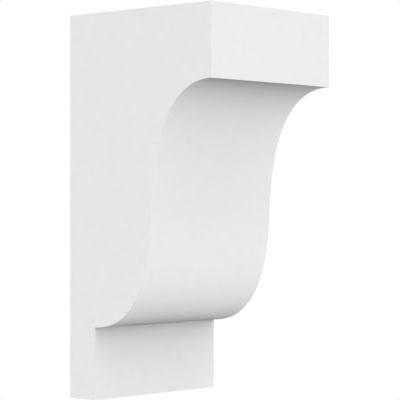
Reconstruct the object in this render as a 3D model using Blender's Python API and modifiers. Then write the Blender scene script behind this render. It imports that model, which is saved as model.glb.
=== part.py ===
"""A plain wall corbel in white cellular PVC: a square head, an S-curved belly and a thin tail.

Run it with blender --background --python part.py, or from the Text Editor. Lengths are in metres
and +Z is up. The origin is the centre of the flat back that bears on the wall, the corbel comes
out of the wall along -Y, and its width runs along X.
"""

import math

import bmesh
import bpy
from mathutils import Matrix, Vector

INCH = 0.0254

# Outside sizes of the block that the corbel is cut from
WIDTH = 5.5 * INCH
PROJECTION = 6.0 * INCH
HEIGHT = 12.0 * INCH

# The square head at the top, and the thin tail under the belly
HEAD_HEIGHT = 2.25 * INCH
TAIL_HEIGHT = 2.25 * INCH
TAIL_THICKNESS = 1.125 * INCH

# The S curve. It leaves the head's nose level, turns down through the waist, where it stands
# almost upright, and rolls under to meet the tail level again. Reaches are handle lengths.
WAIST_OUT = 3.5625 * INCH
WAIST_UP = 5.875 * INCH
WAIST_LEAN = math.radians(2.0)
HEAD_REACH = 1.375 * INCH
UPPER_WAIST_REACH = 2.75 * INCH
LOWER_WAIST_REACH = 3.25 * INCH
TAIL_REACH = 0.875 * INCH
CURVE_STEPS = 32

# Every arris is eased a little, as sanding leaves it
ARRIS = 0.0006
ARRIS_STEPS = 2
SHARP_ANGLE = math.radians(35)

WELD = 1e-5
FLAT_ANGLE = math.radians(0.05)


def clear_scene():
    """Remove whatever the file holds before the corbel is made."""
    for obj in list(bpy.data.objects):
        bpy.data.objects.remove(obj, do_unlink=True)


def cellular_pvc():
    """White foamed PVC with a matt skin."""
    material = bpy.data.materials.new("cellular_pvc")
    material.use_nodes = True
    shader = material.node_tree.nodes["Principled BSDF"]
    shader.inputs["Base Color"].default_value = (0.87, 0.87, 0.87, 1.0)
    shader.inputs["Roughness"].default_value = 0.6
    shader.inputs["Metallic"].default_value = 0.0
    return material


def side_knots():
    """The side outline's knots: place, handle before and handle after.

    Places are (out from the wall, up from the foot). None marks a straight side of the knot.
    """
    belly_root = Vector((TAIL_THICKNESS, TAIL_HEIGHT))
    waist = Vector((WAIST_OUT, WAIST_UP))
    nose = Vector((PROJECTION, HEIGHT - HEAD_HEIGHT))
    upright = Vector((math.sin(WAIST_LEAN), math.cos(WAIST_LEAN)))
    out = Vector((1.0, 0.0))
    return [
        (Vector((0.0, 0.0)), None, None),
        (Vector((TAIL_THICKNESS, 0.0)), None, None),
        (belly_root, None, belly_root + TAIL_REACH * out),
        (waist, waist - LOWER_WAIST_REACH * upright, waist + UPPER_WAIST_REACH * upright),
        (nose, nose - HEAD_REACH * out, None),
        (Vector((PROJECTION, HEIGHT)), None, None),
        (Vector((0.0, HEIGHT)), None, None),
    ]


def side_outline():
    """The side outline as a filled 2D curve, extruded to the corbel's width."""
    curve = bpy.data.curves.new("side_outline", "CURVE")
    curve.dimensions = "2D"
    curve.fill_mode = "BOTH"
    curve.resolution_u = CURVE_STEPS
    curve.extrude = WIDTH / 2
    knots = side_knots()
    spline = curve.splines.new("BEZIER")
    spline.bezier_points.add(len(knots) - 1)
    spline.use_cyclic_u = True
    for point, (place, before, after) in zip(spline.bezier_points, knots):
        point.co = (*place, 0.0)
        point.handle_left_type = "FREE" if before else "VECTOR"
        point.handle_right_type = "FREE" if after else "VECTOR"
        point.handle_left = (*(before or place), 0.0)
        point.handle_right = (*(after or place), 0.0)
    return bpy.data.objects.new("side_outline", curve)


def to_wall_frame():
    """Turn the outline's out, up and across into -Y, +Z and -X, and centre it on the back."""
    columns = (Vector((0, -1, 0)), Vector((0, 0, 1)), Vector((-1, 0, 0)))
    turn = Matrix(columns).transposed().to_4x4()
    return Matrix.Translation((0.0, 0.0, -HEIGHT / 2)) @ turn


def welded_mesh(outline):
    """The extruded outline as one closed mesh, with a single face on each flat side."""
    graph = bpy.context.evaluated_depsgraph_get()
    mesh = bpy.data.meshes.new_from_object(outline.evaluated_get(graph))
    shape = bmesh.new()
    shape.from_mesh(mesh)
    bmesh.ops.remove_doubles(shape, verts=shape.verts, dist=WELD)
    bmesh.ops.dissolve_limit(
        shape, angle_limit=FLAT_ANGLE, verts=shape.verts, edges=shape.edges
    )
    bmesh.ops.recalc_face_normals(shape, faces=shape.faces)
    shape.to_mesh(mesh)
    shape.free()
    return mesh


def ease_arrises(obj):
    """Round each edge that is sharper than the curve's own facets, and shade the rest smooth."""
    bevel = obj.modifiers.new("eased arrises", "BEVEL")
    bevel.width = ARRIS
    bevel.segments = ARRIS_STEPS
    bevel.limit_method = "ANGLE"
    bevel.angle_limit = SHARP_ANGLE
    obj.modifiers.new("even shading", "WEIGHTED_NORMAL")
    obj.data.shade_smooth()


def make_corbel(collection):
    """The corbel: one solid, cut to the side outline all the way across."""
    outline = side_outline()
    collection.objects.link(outline)
    outline.matrix_world = to_wall_frame()
    bpy.context.view_layer.update()
    corbel = bpy.data.objects.new("corbel", welded_mesh(outline))
    collection.objects.link(corbel)
    corbel.matrix_world = outline.matrix_world
    bpy.data.objects.remove(outline)
    corbel.data.materials.append(cellular_pvc())
    ease_arrises(corbel)
    return corbel


def main():
    clear_scene()
    collection = bpy.data.collections.new("wall_corbel")
    bpy.context.scene.collection.children.link(collection)
    make_corbel(collection)


main()
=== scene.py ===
# %% [markdown]
# # A plain wall corbel in primed cellular PVC
#
# A corbel is a bracket that carries a shelf or a mantel. This one is cut from a solid block: a
# square head, one long S curve and a thin tail, all plain. Nothing on it hides a poor outline or
# a flat white paint, so the lesson is about just those: a true curve, eased edges, a sprayed
# white finish that still reads as a surface, and light that shows a white thing on white.
#
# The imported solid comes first. Everything below is measured from it.

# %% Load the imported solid
import math

import bmesh
import bpy
from mathutils import Matrix, Vector


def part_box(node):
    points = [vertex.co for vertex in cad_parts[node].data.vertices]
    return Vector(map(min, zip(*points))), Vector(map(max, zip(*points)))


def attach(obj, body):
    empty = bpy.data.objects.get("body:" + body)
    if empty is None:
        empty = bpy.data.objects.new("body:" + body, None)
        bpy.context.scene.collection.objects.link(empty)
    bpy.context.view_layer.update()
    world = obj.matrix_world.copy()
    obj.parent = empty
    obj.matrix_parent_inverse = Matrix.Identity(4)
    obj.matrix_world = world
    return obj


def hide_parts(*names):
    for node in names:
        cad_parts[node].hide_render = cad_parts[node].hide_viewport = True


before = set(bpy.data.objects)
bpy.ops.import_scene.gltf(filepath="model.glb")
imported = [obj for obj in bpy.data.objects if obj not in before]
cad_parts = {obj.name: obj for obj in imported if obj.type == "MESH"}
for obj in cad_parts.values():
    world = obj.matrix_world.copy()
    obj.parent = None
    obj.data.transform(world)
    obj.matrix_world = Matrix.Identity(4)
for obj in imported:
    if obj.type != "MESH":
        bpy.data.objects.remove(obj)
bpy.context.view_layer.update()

MM = 0.001
BLOCK_LOW, BLOCK_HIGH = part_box("corbel")
WIDTH, PROJECTION, HEIGHT = BLOCK_HIGH - BLOCK_LOW
print(f"block {WIDTH / MM:.1f} x {PROJECTION / MM:.1f} x {HEIGHT / MM:.1f} mm")

# %% [markdown]
# ## The S curve
#
# The whole form is in its side view, so that is what gets drawn. It could be traced with many
# points, but a millworker draws it with few: straight sides, and an S made of two spans. The
# curve leaves the nose level, stands nearly upright at the waist, and comes level again where it
# meets the tail. A Bezier curve says exactly that, because a handle is a direction and a reach.
# The sizes are plain fractions of an inch, as on a shop drawing.

# %% Knots of the S curve
INCH = 0.0254
HEAD_HEIGHT = 2.25 * INCH
TAIL_HEIGHT = 2.25 * INCH
TAIL_THICKNESS = 1.125 * INCH
WAIST = Vector((3.5625, 5.875)) * INCH
WAIST_LEAN = math.radians(2.0)
HEAD_REACH = 1.375 * INCH
UPPER_WAIST_REACH = 2.75 * INCH
LOWER_WAIST_REACH = 3.25 * INCH
TAIL_REACH = 0.875 * INCH


def s_curve_knots():
    """Tail root, waist and nose, each as (place, handle before, handle after).

    A place is (out from the wall, up from the foot). A handle of None marks a straight side.
    """
    root = Vector((TAIL_THICKNESS, TAIL_HEIGHT))
    nose = Vector((PROJECTION, HEIGHT - HEAD_HEIGHT))
    out = Vector((1.0, 0.0))
    upright = Vector((math.sin(WAIST_LEAN), math.cos(WAIST_LEAN)))
    return [
        (root, None, root + TAIL_REACH * out),
        (WAIST, WAIST - LOWER_WAIST_REACH * upright, WAIST + UPPER_WAIST_REACH * upright),
        (nose, nose - HEAD_REACH * out, None),
    ]


print(f"waist {WAIST.x / MM:.1f} mm out from the wall and {WAIST.y / MM:.1f} mm up")

# %% [markdown]
# ## The side outline
#
# Two more knots at the foot and two at the top close the outline with straight sides. A filled
# 2D curve can be extruded to the corbel's width as it is, with no drawing of the other faces.
# The steps are the strips in each curved span, short enough to look round from close up.

# %% Draw the outline as a Bezier curve
CURVE_STEPS = 96


def draw_outline(name):
    """The closed side outline, filled, and extruded to the corbel's width."""
    curve = bpy.data.curves.new(name, "CURVE")
    curve.dimensions = "2D"
    curve.fill_mode = "BOTH"
    curve.resolution_u = CURVE_STEPS
    curve.extrude = WIDTH / 2
    foot = [(Vector((0.0, 0.0)), None, None), (Vector((TAIL_THICKNESS, 0.0)), None, None)]
    top = [(Vector((PROJECTION, HEIGHT)), None, None), (Vector((0.0, HEIGHT)), None, None)]
    knots = foot + s_curve_knots() + top
    spline = curve.splines.new("BEZIER")
    spline.bezier_points.add(len(knots) - 1)
    spline.use_cyclic_u = True
    for point, (place, before, after) in zip(spline.bezier_points, knots):
        point.co = (*place, 0.0)
        point.handle_left_type = "FREE" if before else "VECTOR"
        point.handle_right_type = "FREE" if after else "VECTOR"
        point.handle_left = (*(before or place), 0.0)
        point.handle_right = (*(after or place), 0.0)
    outline = bpy.data.objects.new(name, curve)
    bpy.context.scene.collection.objects.link(outline)
    return outline


outline = draw_outline("side_outline")
print(f"outline of {len(outline.data.splines[0].bezier_points)} knots")

# %% [markdown]
# ## From outline to block
#
# The outline lies flat, out along X and up along Y. On the wall, out is -Y and up is +Z, so its
# axes are named one by one in a matrix, which is easier to trust than three turns. An extruded
# curve comes in loose pieces, so it is welded. Its two flat sides come cut into hundreds of thin
# slivers, and a bevel stops short at the thinnest of them, so each side is cleared to one polygon.

# %% Stand the outline on the wall and close it
WELD = 0.01 * MM
OUT_OF_WALL = Vector((0, -1, 0))
UP_THE_WALL = Vector((0, 0, 1))
ACROSS = Vector((-1, 0, 0))


def clear_flat_sides(shape):
    """Join the slivers of each flat side into one polygon."""
    for side in (-1, 1):
        slivers = [face for face in shape.faces
                   if all(side * v.co.x > WIDTH / 2 - WELD for v in face.verts)]
        bmesh.ops.dissolve_faces(shape, faces=slivers)


def block_from(outline, name):
    """One closed mesh from the extruded outline, with its back centred on the origin."""
    turn = Matrix((OUT_OF_WALL, UP_THE_WALL, ACROSS)).transposed().to_4x4()
    outline.matrix_world = Matrix.Translation(BLOCK_LOW.z * UP_THE_WALL) @ turn
    bpy.context.view_layer.update()
    graph = bpy.context.evaluated_depsgraph_get()
    mesh = bpy.data.meshes.new_from_object(outline.evaluated_get(graph))
    mesh.transform(outline.matrix_world)
    bpy.data.objects.remove(outline)
    shape = bmesh.new()
    shape.from_mesh(mesh)
    bmesh.ops.remove_doubles(shape, verts=shape.verts, dist=WELD)
    clear_flat_sides(shape)
    bmesh.ops.recalc_face_normals(shape, faces=shape.faces)
    shape.to_mesh(mesh)
    shape.free()
    block = bpy.data.objects.new(name, mesh)
    bpy.context.scene.collection.objects.link(block)
    return block


corbel = block_from(outline, "primed_corbel")
print(f"block of {len(corbel.data.polygons)} faces")

# %% [markdown]
# ## Eased arrises
#
# An arris is the sharp edge where two faces meet. No real one is razor sharp, but these come
# close: a light sanding before the primer takes off a fraction of a millimetre, which close up
# gives the edge a thin soft line. A Bevel that acts above an angle finds these edges and leaves
# the S curve's own small facets alone. Weighted normals then keep the flat faces flat in the
# shading.

# %% Ease every arris
ARRIS = 0.2 * MM
ARRIS_STEPS = 4
SHARP_ANGLE = math.radians(35)


def ease_arrises(piece):
    """Round the edges that are sharper than SHARP_ANGLE, and shade the rest smooth."""
    bevel = piece.modifiers.new("eased arrises", "BEVEL")
    bevel.width = ARRIS
    bevel.segments = ARRIS_STEPS
    bevel.limit_method = "ANGLE"
    bevel.angle_limit = SHARP_ANGLE
    piece.modifiers.new("even shading", "WEIGHTED_NORMAL")
    piece.data.shade_smooth()


ease_arrises(corbel)
print(f"arrises eased by {ARRIS / MM:.1f} mm")

# %% [markdown]
# ## Helpers for colours and nodes
#
# Colours are picked as hex, the way a paint card gives them, but Blender's shaders work in linear
# light, so one function turns one into the other, with the sRGB standard's own numbers. One more
# function adds a node, sets it and wires it, so that a material reads as a list of what happens
# to it. Sockets go by name, or by number where a node has several of the same name.

# %% Colour and node helpers
def linear(hex_colour):
    """An sRGB hex colour as linear red, green, blue and alpha."""
    channels = [int(hex_colour[i:i + 2], 16) / 255 for i in (1, 3, 5)]
    lit = [c / 12.92 if c <= 0.04045 else ((c + 0.055) / 1.055) ** 2.4 for c in channels]
    return (*lit, 1.0)


def add(tree, kind, links=None, inputs=None, **settings):
    """Add a node of this kind, wired to other sockets, with its input values and its settings."""
    node = tree.nodes.new(kind)
    for key, value in settings.items():
        setattr(node, key, value)
    for socket, value in (inputs or {}).items():
        node.inputs[socket].default_value = value
    for socket, source in (links or {}).items():
        tree.links.new(source, node.inputs[socket])
    return node


print("a white of #f0f0f0 is", round(linear("#f0f0f0")[0], 3), "in linear light")

# %% [markdown]
# ## The finish: sprayed white primer on cellular PVC
#
# Cellular PVC is foamed vinyl, sold as white trim board. The corbel is sanded and then sprayed
# with a matt white acrylic primer. To the eye that is a clean, neutral white, and yet it is never
# quite even: the coat is a little thicker in spots just under a centimetre across, and the spray
# dries to a faint orange peel. The sheen is low, so roughness is high and nothing mirrors.
#
# A photograph of painted board would show this too, but it would also carry that board's own
# light and dirt. Two noises in object space do it without either, and they don't stretch, because
# the block is solid and the noise simply fills it. Orange peel has cells of 1 to 3 mm. Here it is
# near the coarse end, because at this size of picture finer cells fall between the pixels.

# %% Sprayed white primer
THIN_COAT = "#efefef"
THICK_COAT = "#f3f3f3"
COAT_SPOT = 9 * MM
SPOT_DETAIL = 2.0
SPOT_ROUGHNESS = 0.6
ORANGE_PEEL = 2.5 * MM
ORANGE_PEEL_DEPTH = 0.02 * MM
PEEL_DETAIL = 1.0
ACRYLIC_IOR = 1.49
MATT = 0.6


def sprayed_white_primer():
    """Matt white acrylic primer, sprayed over sanded cellular PVC."""
    material = bpy.data.materials.new("sprayed_white_primer")
    material.use_nodes = True
    tree = material.node_tree
    shader = tree.nodes["Principled BSDF"]
    shader.inputs["Metallic"].default_value = 0.0
    shader.inputs["IOR"].default_value = ACRYLIC_IOR
    shader.inputs["Roughness"].default_value = MATT
    place = add(tree, "ShaderNodeTexCoord").outputs["Object"]
    spots = add(tree, "ShaderNodeTexNoise", {"Vector": place},
                {"Scale": 1 / COAT_SPOT, "Detail": SPOT_DETAIL, "Roughness": SPOT_ROUGHNESS})
    coat = add(tree, "ShaderNodeValToRGB", {"Fac": spots.outputs["Fac"]})
    thin, thick = coat.color_ramp.elements
    thin.color = linear(THIN_COAT)
    thick.color = linear(THICK_COAT)
    tree.links.new(coat.outputs["Color"], shader.inputs["Base Color"])
    peel = add(tree, "ShaderNodeTexNoise", {"Vector": place},
               {"Scale": 1 / ORANGE_PEEL, "Detail": PEEL_DETAIL})
    bump = add(tree, "ShaderNodeBump", {"Height": peel.outputs["Fac"]},
               {"Distance": ORANGE_PEEL_DEPTH})
    tree.links.new(bump.outputs["Normal"], shader.inputs["Normal"])
    return material


corbel.data.materials.append(sprayed_white_primer())
print(f"spots of {COAT_SPOT / MM:.0f} mm over orange peel of {ORANGE_PEEL / MM:.1f} mm")

# %% [markdown]
# ## Hand the piece to the frame
#
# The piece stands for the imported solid: it has the same outline and the same box, with a finer
# curve. It rides on the one body there is.

# %% Tie the piece to the frame
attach(corbel, "root")
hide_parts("corbel")
print("primed_corbel stands for the packed corbel")

# %% [markdown]
# ## Where the light comes from
#
# A white thing on white is only drawn by soft shade, and that needs light from nearly everywhere.
# Softboxes would do, but they have to be kept out of view. Here the world is the lamp: an even
# dome that reaches a little below level, with soft lamps painted on it. Two broad ones stand low,
# a stronger one at the left and one in front. Together they leave the front a shade lighter than
# the side, and let the curve darken as it rolls under. Three narrower ones, above, behind and at
# the right, are for a walk round the corbel: they tell its top from its sides, and keep what the
# photograph doesn't show from going grey.
#
# A lamp is a direction, a brightness and a power. The direction is two angles in degrees: how far
# it is turned left from straight out of the wall, and its height above level.

# %% Dome and lamps
DOME = 0.758
DOME_STARTS = math.sin(math.radians(-35))
DOME_FULL = math.sin(math.radians(-23))
LAMPS = {
    # name: (azimuth, height, brightness, power)
    "left": (75, -39, 1.16, 3),
    "front": (-30, -23, 0.79, 3),
    "above": (0, 90, 1.0, 15),
    "back": (-150, 30, 2.2, 15),
    "right": (-110, 5, 0.6, 15),
}


def towards(azimuth, height):
    """The direction that is turned left by azimuth from straight out of the wall, then raised."""
    turn, lift = math.radians(azimuth), math.radians(height)
    level = math.cos(lift)
    return Vector((-math.sin(turn) * level, -math.cos(turn) * level, math.sin(lift)))


for name, (azimuth, height, brightness, power) in LAMPS.items():
    print(f"{name} lamp, towards", *(f"{c:z.2f}" for c in towards(azimuth, height)))

# %% [markdown]
# ## A world that lights the piece
#
# Each lamp is worked out from the dot product of its direction with that of the light: 1 straight
# at the lamp and 0 a quarter turn away. The power says how fast the lamp fades on the way there.
# It has to be odd: beyond the quarter turn the dot product is negative, an odd power keeps it so,
# and the clamp then makes it nothing. The camera isn't shown any of this. It sees plain white.

# %% Light the piece from all round
WHITE = linear("#ffffff")
PAPER_WHITE = 1.0


def light_all_round():
    """A dome of light with soft lamps on it, which the camera sees as plain white."""
    world = bpy.data.worlds.new("studio")
    world.use_nodes = True
    bpy.context.scene.world = world
    tree = world.node_tree
    tree.nodes.clear()
    direction = add(tree, "ShaderNodeTexCoord").outputs["Generated"]
    height = add(tree, "ShaderNodeSeparateXYZ", {"Vector": direction}).outputs["Z"]
    glow = add(tree, "ShaderNodeMapRange", {"Value": height},
               {"From Min": DOME_STARTS, "From Max": DOME_FULL, "To Max": DOME}).outputs["Result"]
    for azimuth, lift, brightness, power in LAMPS.values():
        facing = add(tree, "ShaderNodeVectorMath", {0: direction},
                     {1: towards(azimuth, lift)}, operation="DOT_PRODUCT")
        lamp = add(tree, "ShaderNodeMath", {0: facing.outputs["Value"]},
                   {1: power}, operation="POWER", use_clamp=True)
        glow = add(tree, "ShaderNodeMath", {0: lamp.outputs["Value"], 2: glow},
                   {1: brightness}, operation="MULTIPLY_ADD").outputs["Value"]
    lit = add(tree, "ShaderNodeBackground", {"Strength": glow}, {"Color": WHITE})
    paper = add(tree, "ShaderNodeBackground", None, {"Color": WHITE, "Strength": PAPER_WHITE})
    for_camera = add(tree, "ShaderNodeLightPath").outputs["Is Camera Ray"]
    shown = add(tree, "ShaderNodeMixShader",
                {0: for_camera, 1: lit.outputs["Background"], 2: paper.outputs["Background"]})
    add(tree, "ShaderNodeOutputWorld", {"Surface": shown.outputs["Shader"]})


light_all_round()
print(f"dome of {DOME} and {len(LAMPS)} soft lamps")

# %% [markdown]
# ## The floor
#
# The corbel hangs on a wall, so the floor is only a pale ground far below it. Paint alone would
# leave it grey next to the white surround, so it is a sheet lit from within, like a light table,
# exactly as white as the surround. Brighter would be wrong too: it would spill over the corbel's
# outline and nibble it away. It mustn't shade the corbel or lighten it from below either, so it is
# hidden from every ray but the camera's.

# %% Plain pale floor
FLOOR_DROP = 1.5
FLOOR_REACH = 60.0


def lay_floor():
    """A wide pale floor, well below the corbel, that only the camera sees."""
    mesh = bpy.data.meshes.new("pale_floor")
    signs = ((-1, -1), (1, -1), (1, 1), (-1, 1))
    corners = [(x * FLOOR_REACH, y * FLOOR_REACH, -FLOOR_DROP) for x, y in signs]
    mesh.from_pydata(corners, [], [(0, 1, 2, 3)])
    floor = bpy.data.objects.new("pale_floor", mesh)
    bpy.context.scene.collection.objects.link(floor)
    material = bpy.data.materials.new("pale_floor")
    material.use_nodes = True
    tree = material.node_tree
    tree.nodes.clear()
    glow = add(tree, "ShaderNodeEmission", None, {"Color": WHITE, "Strength": PAPER_WHITE})
    add(tree, "ShaderNodeOutputMaterial", {"Surface": glow.outputs["Emission"]})
    mesh.materials.append(material)
    floor.visible_shadow = False
    floor.visible_diffuse = False
    floor.visible_glossy = False
    return floor


lay_floor()
print(f"floor {FLOOR_DROP:.1f} m below the middle of the corbel")

# %% [markdown]
# ## Camera
#
# The corbel is seen from its left front by a long lens, level with its middle, as a product
# catalogue shows it. The long lens stands well back, so upright edges stay nearly parallel. With
# the sizes used here, the catalogue's view works out as turned 45 degrees, with its centre off to
# the left, as in a cropped picture. A lens shift could copy that, but it would stay on in every
# other view and push the corbel aside. Turning the camera 2.4 degrees further gives the same
# picture, to within a pixel. Places are in metres, the lens and its sensor in millimetres.

# %% Place the camera
CAMERA_PLACE = Vector((-1.0259, -1.0185, -0.0005))
CAMERA_PAN = math.radians(47.449)
CAMERA_TILT = math.radians(0.235)
LENS = 157.03
SENSOR = 36
FARTHEST = 200


def aim_camera():
    """A camera at the left front, turned CAMERA_PAN to the right from facing the wall."""
    data = bpy.data.cameras.new("camera")
    data.lens = LENS
    data.sensor_width = SENSOR
    data.clip_end = FARTHEST
    camera = bpy.data.objects.new("camera", data)
    bpy.context.scene.collection.objects.link(camera)
    camera.location = CAMERA_PLACE
    # A new camera looks straight down, so a quarter turn brings it level first
    camera.rotation_euler = (math.pi / 2 + CAMERA_TILT, 0, -CAMERA_PAN)
    bpy.context.scene.camera = camera


aim_camera()
print(f"camera {CAMERA_PLACE.length:.2f} m away with a {LENS:.0f} mm lens")

# %% [markdown]
# ## How the picture is printed
#
# Three choices make the shade read as it does in a catalogue. The Standard view keeps pure white
# white, where a film-like view would turn it grey. A steeper print deepens the soft creases. And
# light isn't bounced from face to face, since on so white a thing that would fill the creases in.
# Dither is off, because its grain would hide the faint spots in the primer.

# %% Print settings
PRINT_CONTRAST = 1.62
scene = bpy.context.scene
scene.view_settings.view_transform = "Standard"
scene.view_settings.gamma = 1 / PRINT_CONTRAST
scene.render.dither_intensity = 0.0
scene.cycles.max_bounces = 0
print(f"contrast {PRINT_CONTRAST}")
